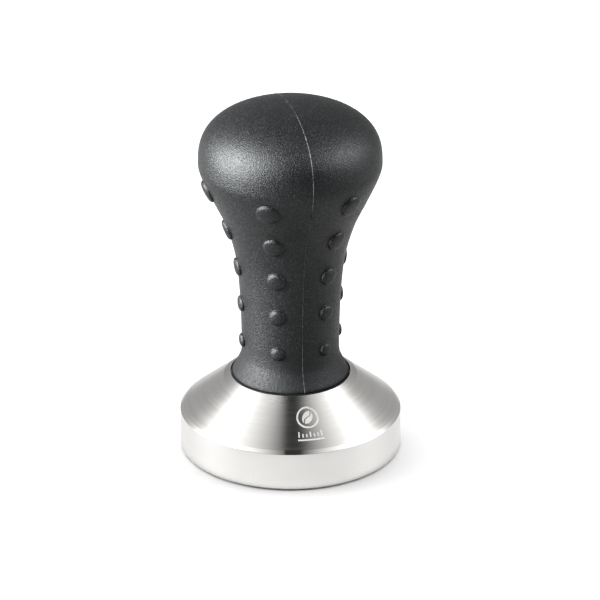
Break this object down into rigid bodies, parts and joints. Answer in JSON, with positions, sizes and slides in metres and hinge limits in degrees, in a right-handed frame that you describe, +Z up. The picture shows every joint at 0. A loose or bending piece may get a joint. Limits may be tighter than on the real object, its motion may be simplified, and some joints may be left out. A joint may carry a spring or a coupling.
{
  "type": "espresso tamper",
  "caption": "Espresso tamper: turned steel base with a band and cone, and a screwed-on handle with a soft black nubbed skin and a wide domed head.",
  "frame": {"origin": "centre of the tamping face, on the surface that the tamper stands on", "axes": "+Z up along the tamper's axis, towards the head of the handle; -Y is the front of the object, with the etched mark just to its right"},
  "size_m": [0.058, 0.058, 0.0949],
  "materials": {
    "base_steel": "turned stainless steel: satin band, polished chamfer, brushed cone",
    "stud_steel": "black oxide steel",
    "washer_rubber": "smooth matt elastomer",
    "insert_brass": "turned and knurled brass",
    "core_plastic": "glass-filled nylon, matt",
    "grip_rubber": "soft-touch moulded skin with a fine grain"
  },
  "bodies": {
    "base": {"tamper_base": "base_steel", "threaded_stud": "stud_steel"},
    "washer": {"seat_washer": "washer_rubber"},
    "handle": {"threaded_insert": "insert_brass", "core_body": "core_plastic", "core_cap": "core_plastic", "grip_skin": "grip_rubber"}
  },
  "joints": [
    {"name": "handle_unscrew", "type": "hinge", "parent": "base", "child": "washer", "pos_m": [0, 0, 0.0196], "axis": [0, 0, 1], "range_deg": [0, 2520]},
    {"name": "handle_lift", "type": "slide", "parent": "washer", "child": "handle", "axis": [0, 0, 1], "range_m": [0, 0.0105]}
  ],
  "couplings": [
    {"joint": "handle_lift", "follows": "handle_unscrew", "m_per_rad": 0.00023873}
  ]
}
